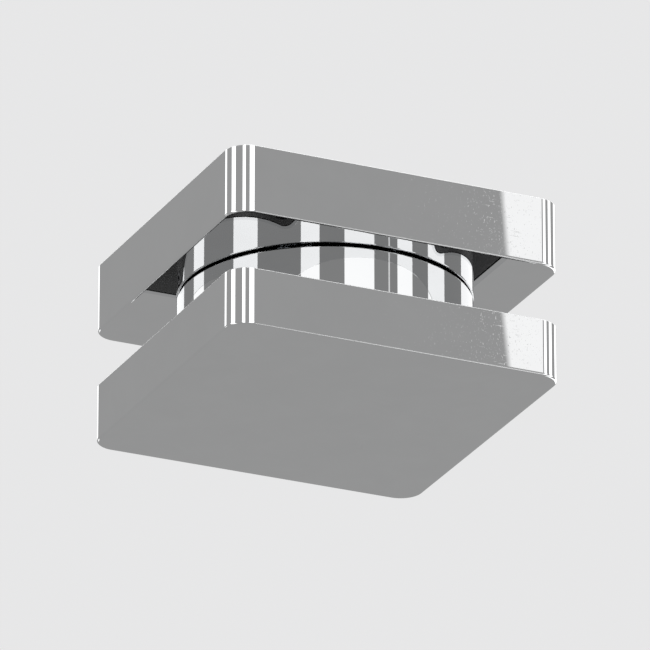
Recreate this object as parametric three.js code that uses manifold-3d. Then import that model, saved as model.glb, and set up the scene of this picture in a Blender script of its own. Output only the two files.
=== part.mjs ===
// Corner leveling foot for a cabinet: a square chromed socket that is let into the underside of the
// cabinet, a round adjusting ring on a threaded stud, and a square chromed base of the same footprint.
// Millimetres, +Z up. The origin is on the floor, under the centre of the foot; the foot is drawn fully
// screwed in. Turning the ring screws the stud out of the socket and pushes the base down.

import * as THREE from 'three';
import { mergeVertices } from 'three/addons/utils/BufferGeometryUtils.js';
import Module from 'manifold-3d';

const wasm = await Module();
wasm.setup();

// ---------------------------------------------------------------- driving dimensions
// Names ending in _R are radii, _Z heights above the floor, _T thicknesses, _AF widths across flats,
// and _XY the distance of a corner feature from the axis along both X and Y.

// Overall
const SIDE = 60; // side of both square blocks
const CORNER_R = 4; // their upright corners
const EDGE = 0.4; // chamfer on their outer edges
const BASE_H = 10; // base, floor to top
const GAP_H = 10; // opening between base and socket
const SOCKET_H = 12; // part let into the cabinet panel
const BASE_TOP_Z = BASE_H;
const SOCKET_Z = BASE_H + GAP_H; // underside of the socket
const TOP_Z = SOCKET_Z + SOCKET_H; // face that meets the cabinet

// Shared allowances
const OVERSHOOT = 1; // how far cutters run past a face
const OVERLAP = 0.5; // how far joined bodies run into each other
const LID_PLAY = 0.2; // gap between a lid and its recess, each side
const HEX_PLAY = 0.4; // added across flats where a hexagon is housed
const PLATE_EDGE = 0.15; // chamfer on plates and the thrust washer

// Socket
const SOCKET_WALL = 2.5;
const SOCKET_FLOOR = 2.5;
const SOCKET_LIP = 1.8; // wall beside the mounting plate
const SOCKET_CAVITY_CORNER_R = 2;
const SOCKET_RECESS_CORNER_R = 2.6;
const MOUNT_T = 2; // mounting plate
const MOUNT_HOLE_R = 6;
const LEDGE_Z = TOP_Z - MOUNT_T - 0.2; // ledge below the mounting plate
const BOSS_R = 11;
const SOCKET_RIB_T = 1.8;
const SOCKET_RIB_TOP_Z = LEDGE_Z - 3;
const MOUNT_SCREW_XY = 22.6;
const MOUNT_POST_R = 3.5;
const MOUNT_PILOT_Z = 23.6; // bottom of the pilot holes
const MOUNT_SCREW_TIP_Z = 24.4;
const FIXING_XY = 12.5; // cabinet screws pass through here, above the ring
const FIXING_POST_R = 4.3;
const FIXING_HOLE_R = 2.2;
const FIXING_HEAD_R = 4.1;
const FIXING_PLAY = 0.2; // added to the hole radius in the mounting plate

// Threaded bush
const BUSH_AF = 13;
const BUSH_BORE_R = 5.05;
const BUSH_FLANGE_R = 9.4;
const BUSH_FLANGE_EDGE = 0.4;
const BUSH_Z = 17.8;
const BUSH_FLANGE_TOP_Z = SOCKET_Z - 0.2;
const BUSH_TOP_Z = 29.6;
const BUSH_LEAD_IN = 0.5; // chamfer at both ends of the bore
const LEAD_IN_OVERSHOOT = 0.4;

// Adjusting ring
const RING_R = 25;
const RING_PLAY = 0.3; // gap to the base and to the socket
const RING_Z = BASE_TOP_Z + RING_PLAY;
const RING_TOP_Z = SOCKET_Z - RING_PLAY;
const RING_EDGE = 0.3;
const RIM_R = 21.3; // inside of the rim
const WEB_TOP_Z = 13.4; // top of the web between rim and hub
const HUB_R = 12.6;
const HUB_TOP_Z = 16.2;
const HUB_BORE_R = 5.15;
const RING_RIBS = 6;
const RING_RIB_T = 1.6;
const RING_RIB_TOP_Z = HUB_TOP_Z - 0.6;

// Stud, M10 x 1.5
const THREAD_R = 4.95; // crest radius
const THREAD_EDGE = 0.9;
const STUD_TOP_Z = 29.5;
const COLLAR_AF = 16.6; // hexagonal collar that drives the ring
const COLLAR_Z = 11.2;
const COLLAR_TOP_Z = 14.2;
const COLLAR_EDGE = 0.3;
const COLLAR_HEADROOM = 0.1;
const JOURNAL_R = 4;
const JOURNAL_EDGE = 0.4;
const JOURNAL_END_Z = 2.7;
const KEY_AF = 5; // hexagon socket in the upper end
const KEY_DEPTH = 5;

// Retaining rings. Radii are of the groove floor and the ring's outside; turn is in degrees.
const CLIP_T = 0.9;
const CLIP_PLAY = 0.1; // gap to each side and to the floor of the groove
const CLIP_SHIFT = 0.16; // offset of the outside from the inside, as a share of the ring's width
const CLIP_GAP_LENGTH = 1.6; // wedge that cuts the gap, in outer radii
const CLIP_GAP_HALF_WIDTH = 0.55;
const RING_CLIP = { grooveR: 4.45, outerR: 7.6, z: 16.4, turn: 30 };
const JOURNAL_CLIP = { grooveR: 3.5, outerR: 6.2, z: 3.6, turn: 210 };

// Base
const BASE_WALL = 2;
const BASE_LIP = 1.2; // wall beside the cover
const BASE_FLOOR = 2;
const BASE_CAVITY_CORNER_R = 2.5;
const BASE_RECESS_CORNER_R = 3;
const COVER_T = 1.9;
const COVER_HOLE_R = 8.8;
const COVER_LEDGE_Z = BASE_TOP_Z - COVER_T - 0.3;
const COVER_SCREW_XY = 23.5;
const COVER_POST_R = 3.4;
const COVER_PILOT_Z = 2.6;
const COVER_SCREW_TIP_Z = 3.2;
const SUPPORT_Z = 5.8; // top of the posts and centre ring below the bearing plate
const SUPPORT_INNER_R = 10;
const SUPPORT_OUTER_R = 13;
const BASE_RIB_T = 1.6;
const BASE_RIB_TOP_Z = SUPPORT_Z - 0.8;
const CARRIER_T = 1.9; // bearing plate
const CARRIER_Z = 6;
const CARRIER_TOP_Z = CARRIER_Z + CARRIER_T;
const CARRIER_PLAY = 0.3; // gap to the base walls
const CARRIER_BORE_PLAY = 0.15;

// Bearing and washers
const BEARING_BORE_R = 4.08;
const BEARING_BARREL_R = 6;
const BEARING_FLANGE_R = 8.4;
const BEARING_Z = 5.2;
const BEARING_SEAT_Z = CARRIER_TOP_Z + 0.15; // underside of the flange
const BEARING_TOP_Z = BASE_TOP_Z - 0.05;
const BEARING_EDGE = 0.3; // chamfer on the bore and barrel
const BEARING_FLANGE_EDGE = 0.2;
const THRUST = { innerR: 4.3, outerR: 12.4, z0: BASE_TOP_Z + 0.1, thickness: 1 };
const THRUST_PLAY = 0.6; // round the thrust washer, in the adjusting ring
const BACKING = { innerR: 4.15, outerR: 6.8, z0: 4.6, thickness: 0.5 };

// M3 countersunk screws
const SCREW_R = 1.42;
const SCREW_END_EDGE = 0.5;
const SCREW_HEAD_R = 2.9;
const SCREW_HEAD_LAND = 0.2; // upright edge of the head
const SCREW_KEY_AF = 2;
const SCREW_KEY_DEPTH = 1.3;
const SCREW_SINK = 0.1; // head below the plate's face
const PILOT_R = 1.62;
const CLEAR_R = 1.8;
const SEAT_R = SCREW_HEAD_R + 0.25;
const SEAT_LAND = 0.3; // upright part of the seat

// Facets
const FINE = 96; // on the ring
const MEDIUM = 32; // on a bearing, boss or thread
const SMALL = 16; // on a screw, post or screw hole
const CORNER_FACETS = 5; // on an outer corner
const INNER_CORNER_FACETS = 2; // on a hidden corner

// ---------------------------------------------------------------- shape helpers

const CORNERS = [[1, 1], [-1, 1], [-1, -1], [1, -1]];

const point = (x, y) => new THREE.Vector2(x, y);

function circle(radius, facets, turn = 0) {
  return Array.from({ length: facets }, (_, i) => {
    const angle = turn + (2 * Math.PI * i) / facets;
    return point(radius * Math.cos(angle), radius * Math.sin(angle));
  });
}

const hexagon = (acrossFlats) => circle(acrossFlats / Math.sqrt(3), 6, Math.PI / 6);

// Square with rounded corners, centred on the axis.
function roundedSquare(side, radius, facets = INNER_CORNER_FACETS) {
  const centre = side / 2 - radius;
  return CORNERS.flatMap(([x, y], quarter) =>
    Array.from({ length: facets + 1 }, (_, i) => {
      const angle = (Math.PI / 2) * (quarter + i / facets);
      return point(x * centre + radius * Math.cos(angle), y * centre + radius * Math.sin(angle));
    }),
  );
}

// Welds a geometry's vertices, drops collapsed triangles and makes it a manifold.
function solid(geometry) {
  const flat = geometry.index ? geometry.toNonIndexed() : geometry;
  const bare = new THREE.BufferGeometry().setAttribute('position', flat.getAttribute('position'));
  const merged = mergeVertices(bare, 1e-4);
  const index = merged.index.array;
  const kept = [];
  for (let i = 0; i < index.length; i += 3) {
    const [a, b, c] = index.slice(i, i + 3);
    if (a !== b && b !== c && c !== a) kept.push(a, b, c);
  }
  return new wasm.Manifold(
    new wasm.Mesh({
      numProp: 3,
      vertProperties: new Float32Array(merged.attributes.position.array),
      triVerts: new Uint32Array(kept),
    }),
  );
}

// Upright prism from an outline, with an optional chamfer round both ends.
function prism(outline, z0, z1, chamfer = 0) {
  const geometry = new THREE.ExtrudeGeometry(new THREE.Shape(outline), {
    depth: z1 - z0 - 2 * chamfer,
    bevelEnabled: chamfer > 0,
    bevelThickness: chamfer,
    bevelSize: chamfer,
    bevelOffset: -chamfer,
    bevelSegments: 1,
  });
  return solid(geometry.translate(0, 0, z0 + chamfer));
}

// Body of revolution about Z from (radius, z) pairs. The profile runs anticlockwise and is closed
// here, unless it starts and ends on the axis.
function turned(profile, facets = MEDIUM) {
  const points = profile.map(([r, z]) => point(r, z));
  if (profile[0][0] > 0) points.push(points[0].clone());
  return solid(new THREE.LatheGeometry(points, facets).rotateX(Math.PI / 2));
}

const cone = (r0, z0, r1, z1, facets = SMALL) =>
  turned([[0, z0], [r0, z0], [r1, z1], [0, z1]], facets);
const cylinder = (radius, z0, z1, facets = SMALL) => cone(radius, z0, radius, z1, facets);

// Cutter for a hole right through a body that spans z0 to z1.
const bore = (radius, z0, z1, facets = SMALL) =>
  cylinder(radius, z0 - OVERSHOOT, z1 + OVERSHOOT, facets);

// Upright bar along X, centred on Y.
function bar(x0, x1, thickness, z0, z1) {
  const y = thickness / 2;
  return prism([point(x0, -y), point(x1, -y), point(x1, y), point(x0, y)], z0, z1);
}

function crossRibs(halfLength, thickness, z0, z1) {
  const rib = bar(-halfLength, halfLength, thickness, z0, z1);
  return [rib, rib.rotate([0, 0, 90])];
}

const joined = (first, ...rest) => rest.reduce((a, b) => a.add(b), first);
const cut = (first, ...rest) => rest.reduce((a, b) => a.subtract(b), first);
const atCorners = (shape, xy) => CORNERS.map(([x, y]) => shape.translate([x * xy, y * xy, 0]));

// Square block, hollowed from the top, with a wider recess for a lid.
function tray({ z0, z1, wall, floor, cavityCornerR, lip, ledgeZ, recessCornerR }) {
  return cut(
    prism(roundedSquare(SIDE, CORNER_R, CORNER_FACETS), z0, z1, EDGE),
    prism(roundedSquare(SIDE - 2 * wall, cavityCornerR), z0 + floor, z1 + OVERSHOOT),
    prism(roundedSquare(SIDE - 2 * lip, recessCornerR), ledgeZ, z1 + OVERSHOOT),
  );
}

// Square plate with play all round inside an opening of the given size.
function fittedPlate(openingSide, openingCornerR, play, z0, z1) {
  return prism(roundedSquare(openingSide - 2 * play, openingCornerR - play), z0, z1, PLATE_EDGE);
}

// Lid with a centre hole and four countersunk screw holes, for the recess of a tray.
function lid({ lip, recessCornerR, top, thickness, holeR, screwXY }) {
  const z0 = top - thickness;
  return cut(
    fittedPlate(SIDE - 2 * lip, recessCornerR, LID_PLAY, z0, top),
    bore(holeR, z0, top, MEDIUM),
    ...atCorners(countersink(z0, top), screwXY),
  );
}

// Cutter for a clearance hole with a 90 degree seat for a countersunk head.
function countersink(bottom, top) {
  const z0 = bottom - OVERSHOOT;
  const z1 = top + OVERSHOOT;
  const seatZ = top - SEAT_LAND;
  return turned(
    [[0, z0], [CLEAR_R, z0], [CLEAR_R, seatZ - (SEAT_R - CLEAR_R)], [SEAT_R, seatZ], [SEAT_R, z1], [0, z1]],
    SMALL,
  );
}

// M3 countersunk screw with a hexagon recess, set just below the given face.
function countersunkScrew(face, tip) {
  const top = face - SCREW_SINK;
  const landZ = top - SCREW_HEAD_LAND;
  const body = turned(
    [
      [0, tip],
      [SCREW_R - SCREW_END_EDGE, tip],
      [SCREW_R, tip + SCREW_END_EDGE],
      [SCREW_R, landZ - (SCREW_HEAD_R - SCREW_R)],
      [SCREW_HEAD_R, landZ],
      [SCREW_HEAD_R, top],
      [0, top],
    ],
    SMALL,
  );
  return body.subtract(prism(hexagon(SCREW_KEY_AF), top - SCREW_KEY_DEPTH, top + OVERSHOOT));
}

// ---------------------------------------------------------------- finishes

const finish = (color, metalness, roughness) => () =>
  new THREE.MeshStandardMaterial({ color, metalness, roughness });
const metal = ({ color, roughness }) => finish(color, 1, roughness);
const plastic = ({ color, roughness }) => finish(color, 0, roughness);

const chrome = metal({ color: 0xd9dbdd, roughness: 0.06 });
const polished = metal({ color: 0xcbcccd, roughness: 0.08 });
const zincPlate = metal({ color: 0xb4b8bc, roughness: 0.35 });
const steel = metal({ color: 0x9da1a5, roughness: 0.3 });
const springSteel = metal({ color: 0x4a4d52, roughness: 0.4 });
const bronze = metal({ color: 0xb38a52, roughness: 0.35 });
const blackPlastic = plastic({ color: 0x0b0b0c, roughness: 0.5 });
const blackScrew = metal({ color: 0x17181a, roughness: 0.45 });

// ---------------------------------------------------------------- socket

// Die-cast shell, open at the top: floor, walls with a ledge for the mounting plate, centre boss for the
// threaded bush, four posts for the plate screws and four hollow posts for the cabinet's own screws.
function cornerSocket() {
  const shell = tray({
    z0: SOCKET_Z,
    z1: TOP_Z,
    wall: SOCKET_WALL,
    floor: SOCKET_FLOOR,
    cavityCornerR: SOCKET_CAVITY_CORNER_R,
    lip: SOCKET_LIP,
    ledgeZ: LEDGE_Z,
    recessCornerR: SOCKET_RECESS_CORNER_R,
  });
  const rootZ = SOCKET_Z + SOCKET_FLOOR - OVERLAP;
  const ribEnd = SIDE / 2 - SOCKET_WALL + OVERLAP;
  const fixingSeat = cone(
    FIXING_HEAD_R + OVERLAP,
    SOCKET_Z - OVERLAP,
    FIXING_HOLE_R,
    SOCKET_Z + FIXING_HEAD_R - FIXING_HOLE_R,
  );
  return cut(
    joined(
      shell,
      cylinder(BOSS_R, rootZ, LEDGE_Z, MEDIUM),
      ...crossRibs(ribEnd, SOCKET_RIB_T, rootZ, SOCKET_RIB_TOP_Z),
      ...atCorners(cylinder(MOUNT_POST_R, rootZ, LEDGE_Z), MOUNT_SCREW_XY),
      ...atCorners(cylinder(FIXING_POST_R, rootZ, LEDGE_Z), FIXING_XY),
    ),
    prism(hexagon(BUSH_AF + HEX_PLAY), SOCKET_Z - OVERSHOOT, LEDGE_Z + OVERSHOOT),
    ...atCorners(cylinder(PILOT_R, MOUNT_PILOT_Z, TOP_Z), MOUNT_SCREW_XY),
    ...atCorners(bore(FIXING_HOLE_R, SOCKET_Z, LEDGE_Z), FIXING_XY),
    ...atCorners(fixingSeat, FIXING_XY),
  );
}

// Hexagonal steel insert with a round flange just below the socket's underside.
function threadedBush() {
  const flange = turned([
    [0, BUSH_Z],
    [BUSH_FLANGE_R - BUSH_FLANGE_EDGE, BUSH_Z],
    [BUSH_FLANGE_R, BUSH_Z + BUSH_FLANGE_EDGE],
    [BUSH_FLANGE_R, BUSH_FLANGE_TOP_Z],
    [0, BUSH_FLANGE_TOP_Z],
  ]);
  const wideR = BUSH_BORE_R + BUSH_LEAD_IN + LEAD_IN_OVERSHOOT;
  const bottom = BUSH_Z - LEAD_IN_OVERSHOOT;
  const top = BUSH_TOP_Z + LEAD_IN_OVERSHOOT;
  return cut(
    joined(prism(hexagon(BUSH_AF), BUSH_Z + 2 * OVERLAP, BUSH_TOP_Z), flange),
    bore(BUSH_BORE_R, BUSH_Z, BUSH_TOP_Z, MEDIUM),
    cone(wideR, bottom, BUSH_BORE_R, BUSH_Z + BUSH_LEAD_IN, MEDIUM),
    cone(BUSH_BORE_R, BUSH_TOP_Z - BUSH_LEAD_IN, wideR, top, MEDIUM),
  );
}

// Steel plate that closes the socket, flush with its rim.
function mountingPlate() {
  const plate = lid({
    lip: SOCKET_LIP,
    recessCornerR: SOCKET_RECESS_CORNER_R,
    top: TOP_Z,
    thickness: MOUNT_T,
    holeR: MOUNT_HOLE_R,
    screwXY: MOUNT_SCREW_XY,
  });
  const fixingHole = bore(FIXING_HOLE_R + FIXING_PLAY, TOP_Z - MOUNT_T, TOP_Z);
  return cut(plate, ...atCorners(fixingHole, FIXING_XY));
}

// ---------------------------------------------------------------- adjusting ring and stud

// Ring with rim, web, ribs and hub. The hub and web take the stud's hexagonal collar and the thrust
// washer from below; the bush flange sits inside the rim, above the hub.
function adjustingRing() {
  const rootZ = WEB_TOP_Z - OVERLAP;
  const rib = bar(HUB_R - OVERLAP, RIM_R + OVERLAP, RING_RIB_T, rootZ, RING_RIB_TOP_Z);
  const ribs = Array.from({ length: RING_RIBS }, (_, i) => rib.rotate([0, 0, (360 / RING_RIBS) * i]));
  const dish = cut(
    prism(circle(RING_R, FINE), RING_Z, RING_TOP_Z, RING_EDGE),
    cylinder(RIM_R, WEB_TOP_Z, RING_TOP_Z + OVERSHOOT, FINE),
  );
  const below = RING_Z - OVERSHOOT;
  return cut(
    joined(dish, cylinder(HUB_R, rootZ, HUB_TOP_Z, MEDIUM), ...ribs),
    bore(HUB_BORE_R, RING_Z, HUB_TOP_Z, MEDIUM),
    prism(hexagon(COLLAR_AF + HEX_PLAY), below, COLLAR_TOP_Z + COLLAR_HEADROOM),
    cylinder(THRUST.outerR + THRUST_PLAY, below, COLLAR_Z, MEDIUM),
  );
}

// Profile points of a retaining ring's groove in a shaft, from the bottom up.
function clipGroove(shaftR, { grooveR, z }) {
  const z0 = z - CLIP_PLAY;
  const z1 = z + CLIP_T + CLIP_PLAY;
  return [[shaftR, z0], [grooveR, z0], [grooveR, z1], [shaftR, z1]];
}

// Stud: thread above, hexagonal collar that turns with the ring, journal below that carries the base.
function threadedStud() {
  const shoulderZ = COLLAR_Z + OVERLAP; // journal meets thread inside the collar
  const shaft = turned([
    [0, JOURNAL_END_Z],
    [JOURNAL_R - JOURNAL_EDGE, JOURNAL_END_Z],
    [JOURNAL_R, JOURNAL_END_Z + JOURNAL_EDGE],
    ...clipGroove(JOURNAL_R, JOURNAL_CLIP),
    [JOURNAL_R, shoulderZ],
    [THREAD_R, shoulderZ],
    ...clipGroove(THREAD_R, RING_CLIP),
    [THREAD_R, STUD_TOP_Z - THREAD_EDGE],
    [THREAD_R - THREAD_EDGE, STUD_TOP_Z],
    [0, STUD_TOP_Z],
  ]);
  return cut(
    joined(shaft, prism(hexagon(COLLAR_AF), COLLAR_Z, COLLAR_TOP_Z, COLLAR_EDGE)),
    prism(hexagon(KEY_AF), STUD_TOP_Z - KEY_DEPTH, STUD_TOP_Z + OVERSHOOT),
  );
}

// Open spring ring that snaps into a groove. It is thickest opposite the gap.
function circlip({ grooveR, outerR, z, turn }) {
  const innerR = grooveR + CLIP_PLAY;
  const shift = (outerR - innerR) * CLIP_SHIFT;
  const gapX = outerR * CLIP_GAP_LENGTH;
  const gapY = outerR * CLIP_GAP_HALF_WIDTH;
  const wedge = [point(0, 0), point(gapX, -gapY), point(gapX, gapY)];
  return cut(
    cylinder(outerR, z, z + CLIP_T, MEDIUM).translate([-shift, 0, 0]),
    bore(innerR, z, z + CLIP_T, MEDIUM),
    prism(wedge, z - OVERSHOOT, z + CLIP_T + OVERSHOOT),
  ).rotate([0, 0, turn]);
}

// Flat washer between the turning collar and the base's bearing.
function thrustWasher() {
  const { innerR, outerR, z0, thickness } = THRUST;
  const z1 = z0 + thickness;
  return turned([
    [innerR, z0],
    [outerR - PLATE_EDGE, z0],
    [outerR, z0 + PLATE_EDGE],
    [outerR, z1 - PLATE_EDGE],
    [outerR - PLATE_EDGE, z1],
    [innerR, z1],
  ]);
}

// ---------------------------------------------------------------- base

// Die-cast tray: plain underside, rim round the cover, corner posts, and a centre ring under the bearing.
function baseShell() {
  const shell = tray({
    z0: 0,
    z1: BASE_TOP_Z,
    wall: BASE_WALL,
    floor: BASE_FLOOR,
    cavityCornerR: BASE_CAVITY_CORNER_R,
    lip: BASE_LIP,
    ledgeZ: COVER_LEDGE_Z,
    recessCornerR: BASE_RECESS_CORNER_R,
  });
  const rootZ = BASE_FLOOR - OVERLAP;
  const ribEnd = SIDE / 2 - BASE_WALL + OVERLAP;
  return cut(
    joined(
      shell,
      cylinder(SUPPORT_OUTER_R, rootZ, SUPPORT_Z, MEDIUM),
      ...crossRibs(ribEnd, BASE_RIB_T, rootZ, BASE_RIB_TOP_Z),
      ...atCorners(cylinder(COVER_POST_R, rootZ, SUPPORT_Z), COVER_SCREW_XY),
    ),
    cylinder(SUPPORT_INNER_R, BASE_FLOOR, BASE_TOP_Z, MEDIUM),
    ...atCorners(cylinder(PILOT_R, COVER_PILOT_Z, BASE_TOP_Z), COVER_SCREW_XY),
  );
}

// Steel plate that spreads the load from the bearing to the tray.
function bearingPlate() {
  const opening = SIDE - 2 * BASE_WALL;
  return cut(
    fittedPlate(opening, BASE_CAVITY_CORNER_R, CARRIER_PLAY, CARRIER_Z, CARRIER_TOP_Z),
    bore(BEARING_BARREL_R + CARRIER_BORE_PLAY, CARRIER_Z, CARRIER_TOP_Z, MEDIUM),
    ...atCorners(bore(CLEAR_R, CARRIER_Z, CARRIER_TOP_Z), COVER_SCREW_XY),
  );
}

// Flanged plain bearing for the stud's journal.
function bearingBush() {
  return turned([
    [BEARING_BORE_R, BEARING_Z],
    [BEARING_BARREL_R - BEARING_EDGE, BEARING_Z],
    [BEARING_BARREL_R, BEARING_Z + BEARING_EDGE],
    [BEARING_BARREL_R, BEARING_SEAT_Z],
    [BEARING_FLANGE_R, BEARING_SEAT_Z],
    [BEARING_FLANGE_R, BEARING_TOP_Z - BEARING_FLANGE_EDGE],
    [BEARING_FLANGE_R - BEARING_FLANGE_EDGE, BEARING_TOP_Z],
    [BEARING_BORE_R + BEARING_EDGE, BEARING_TOP_Z],
    [BEARING_BORE_R, BEARING_TOP_Z - BEARING_EDGE],
  ]);
}

// Hardened washer between the lower retaining ring and the bearing.
function backingWasher() {
  const { innerR, outerR, z0, thickness } = BACKING;
  const z1 = z0 + thickness;
  return turned([[innerR, z0], [outerR, z0], [outerR, z1], [innerR, z1]]);
}

// Moulded cover, flush with the tray's rim.
function baseCover() {
  return lid({
    lip: BASE_LIP,
    recessCornerR: BASE_RECESS_CORNER_R,
    top: BASE_TOP_Z,
    thickness: COVER_T,
    holeR: COVER_HOLE_R,
    screwXY: COVER_SCREW_XY,
  });
}

// ---------------------------------------------------------------- assembly

function add(group, name, shape, material) {
  const { vertProperties, triVerts } = shape.getMesh();
  const geometry = new THREE.BufferGeometry();
  geometry.setAttribute('position', new THREE.BufferAttribute(new Float32Array(vertProperties), 3));
  geometry.setIndex(new THREE.BufferAttribute(new Uint32Array(triVerts), 1));
  geometry.computeVertexNormals();
  const mesh = new THREE.Mesh(geometry, material);
  mesh.name = name;
  group.add(mesh);
  return mesh;
}

function addScrews(group, name, shape, xy, material) {
  CORNERS.forEach(([x, y], i) => {
    add(group, `${name}_${i + 1}`, shape, material()).position.set(x * xy, y * xy, 0);
  });
}

const socket = new THREE.Group();
add(socket, 'corner_socket', cornerSocket(), chrome());
add(socket, 'threaded_bush', threadedBush(), steel());
add(socket, 'mounting_plate', mountingPlate(), zincPlate());
const plateScrew = countersunkScrew(TOP_Z, MOUNT_SCREW_TIP_Z);
addScrews(socket, 'plate_screw', plateScrew, MOUNT_SCREW_XY, zincPlate);

const adjuster = new THREE.Group();
add(adjuster, 'adjusting_ring', adjustingRing(), polished());
add(adjuster, 'threaded_stud', threadedStud(), steel());
add(adjuster, 'ring_circlip', circlip(RING_CLIP), springSteel());
add(adjuster, 'journal_circlip', circlip(JOURNAL_CLIP), springSteel());

const bearing = new THREE.Group();
add(bearing, 'thrust_washer', thrustWasher(), bronze());

const base = new THREE.Group();
add(base, 'base_shell', baseShell(), chrome());
add(base, 'bearing_plate', bearingPlate(), zincPlate());
add(base, 'bearing_bush', bearingBush(), bronze());
add(base, 'backing_washer', backingWasher(), steel());
add(base, 'base_cover', baseCover(), blackPlastic());
const coverScrew = countersunkScrew(BASE_TOP_Z, COVER_SCREW_TIP_Z);
addScrews(base, 'cover_screw', coverScrew, COVER_SCREW_XY, blackScrew);

const foot = new THREE.Group();
foot.name = 'leveling_foot';
foot.add(socket, adjuster, bearing, base);

export default foot;
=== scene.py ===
"""Adjustable foot: a chrome socket block above, a threaded stud with a round adjusting ring,
and a chrome base block below. It is centred on the Z axis, which is the axis of the stud,
with the underside of the base at z = 0. Shapes are built in millimetres and scaled to
metres when each piece is finished.
"""
from math import asin, atan2, ceil, cos, pi, radians, sin, sqrt, tan

import bmesh
import bpy
from mathutils import Matrix, Vector


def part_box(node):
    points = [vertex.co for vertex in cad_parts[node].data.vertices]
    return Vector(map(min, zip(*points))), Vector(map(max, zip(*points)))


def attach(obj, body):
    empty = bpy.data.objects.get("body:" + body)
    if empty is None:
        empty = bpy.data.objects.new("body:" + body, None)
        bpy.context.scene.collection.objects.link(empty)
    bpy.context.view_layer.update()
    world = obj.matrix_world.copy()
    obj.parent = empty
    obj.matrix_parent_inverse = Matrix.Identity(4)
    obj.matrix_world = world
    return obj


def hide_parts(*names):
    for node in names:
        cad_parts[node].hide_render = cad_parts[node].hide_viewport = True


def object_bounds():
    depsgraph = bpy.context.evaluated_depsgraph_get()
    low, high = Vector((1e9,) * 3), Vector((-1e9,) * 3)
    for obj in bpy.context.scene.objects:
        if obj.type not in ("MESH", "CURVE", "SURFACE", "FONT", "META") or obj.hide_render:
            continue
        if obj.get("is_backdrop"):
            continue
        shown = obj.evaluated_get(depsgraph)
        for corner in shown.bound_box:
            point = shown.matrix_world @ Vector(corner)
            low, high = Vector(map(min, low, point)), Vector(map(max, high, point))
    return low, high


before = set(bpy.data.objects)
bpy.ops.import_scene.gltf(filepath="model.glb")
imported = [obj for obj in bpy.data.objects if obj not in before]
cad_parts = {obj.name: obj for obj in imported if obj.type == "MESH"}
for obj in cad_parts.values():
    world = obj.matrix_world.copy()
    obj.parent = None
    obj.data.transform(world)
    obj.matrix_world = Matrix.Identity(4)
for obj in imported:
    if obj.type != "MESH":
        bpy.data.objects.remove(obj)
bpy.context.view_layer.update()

scene = bpy.context.scene


# ------------------------------------------------------------------ sizes (mm)

def box_mm(node):
    low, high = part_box(node)
    return [c * 1000 for c in low], [c * 1000 for c in high]


def extent(node):
    """Bottom, top and largest x of a CAD piece."""
    low, high = box_mm(node)
    return low[2], high[2], high[0]


def centre_mm(node):
    low, high = box_mm(node)
    return (low[0] + high[0]) / 2, (low[1] + high[1]) / 2


SOCKET_BOTTOM, SOCKET_TOP, HALF = extent("corner_socket")
SIDE = 2 * HALF
PLATE_BOTTOM, PLATE_TOP, PLATE_HALF = extent("mounting_plate")
COVER_BOTTOM, COVER_TOP, COVER_HALF = extent("base_cover")
CARRIER_BOTTOM, CARRIER_TOP, CARRIER_HALF = extent("bearing_plate")
BUSH_BOTTOM, BUSH_TOP, BUSH_FLANGE_R = extent("threaded_bush")
STUD_BOTTOM, STUD_TOP, _ = extent("threaded_stud")
RING_BOTTOM, RING_TOP, _ = extent("adjusting_ring")
RING_R = box_mm("adjusting_ring")[1][1]
BASE_TOP = extent("base_shell")[1]
PLATE_SCREWS = [centre_mm(f"plate_screw_{i}") for i in range(1, 5)]
COVER_SCREWS = [centre_mm(f"cover_screw_{i}") for i in range(1, 5)]
FIXINGS = [(x, y) for x in (-12.5, 12.5) for y in (-12.5, 12.5)]

CORNER_R = 4.0          # upright corners of both blocks
LOWER_EDGE_R = 0.42     # soft polished lower edge of both blocks
TOP_EDGE_R = 0.12
RING_EDGE_R = 0.28
PITCH = 1.5             # M10 x 1.5
BUSH_AF = 13.0          # across flats
COLLAR_AF = 16.6
COLLAR_BOTTOM, COLLAR_TOP = 11.2, 14.2
HEX_PLAY = 0.4          # a hexagonal pocket is this much wider than what sits in it
RING_GROOVE_R = 4.45    # stud grooves for the two circlips
JOURNAL_GROOVE_R = 3.5
SCREW_PILOT_R = 1.62
SCREW_CLEAR_R = 1.8
SCREW_SINK = 0.1        # screw heads lie this far below the face
PAST = 1                # cutters run this far past the face they open


# ------------------------------------------------------------------ outlines

def circle(radius, count, start=0.0):
    angles = [start + 2 * pi * i / count for i in range(count)]
    return [(radius * cos(angle), radius * sin(angle)) for angle in angles]


def hexagon(across_flats):
    return circle(across_flats / sqrt(3), 6, radians(30.0))


def rectangle(half_x, half_y):
    return [(-half_x, -half_y), (half_x, -half_y), (half_x, half_y), (-half_x, half_y)]


def rounded_square(side, radius, steps):
    offset = side / 2 - radius
    corners = ((offset, offset), (-offset, offset), (-offset, -offset), (offset, -offset))
    points = []
    for quarter, (x, y) in enumerate(corners):
        for i in range(steps + 1):
            angle = pi / 2 * (quarter + i / steps)
            points.append((x + radius * cos(angle), y + radius * sin(angle)))
    return points


def fillet(points):
    """Round the corners given as (x, y, radius, steps); plain (x, y) points stay sharp."""
    rounded = []
    for i, point in enumerate(points):
        if len(point) == 2:
            rounded.append(point)
            continue
        x, y, radius, steps = point
        corner = Vector((x, y))
        before = (Vector(points[i - 1][:2]) - corner).normalized()
        after = (Vector(points[(i + 1) % len(points)][:2]) - corner).normalized()
        half = before.angle(after) / 2
        reach = radius / tan(half)
        centre = corner + (before + after).normalized() * (radius / sin(half))
        first = corner + before * reach - centre
        last = corner + after * reach - centre
        sweep = first.angle_signed(last)
        start = atan2(first.y, first.x)
        for k in range(steps + 1):
            angle = start - sweep * k / steps
            rounded.append((centre.x + radius * cos(angle), centre.y + radius * sin(angle)))
    return rounded


# ------------------------------------------------------------------ solids

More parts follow.
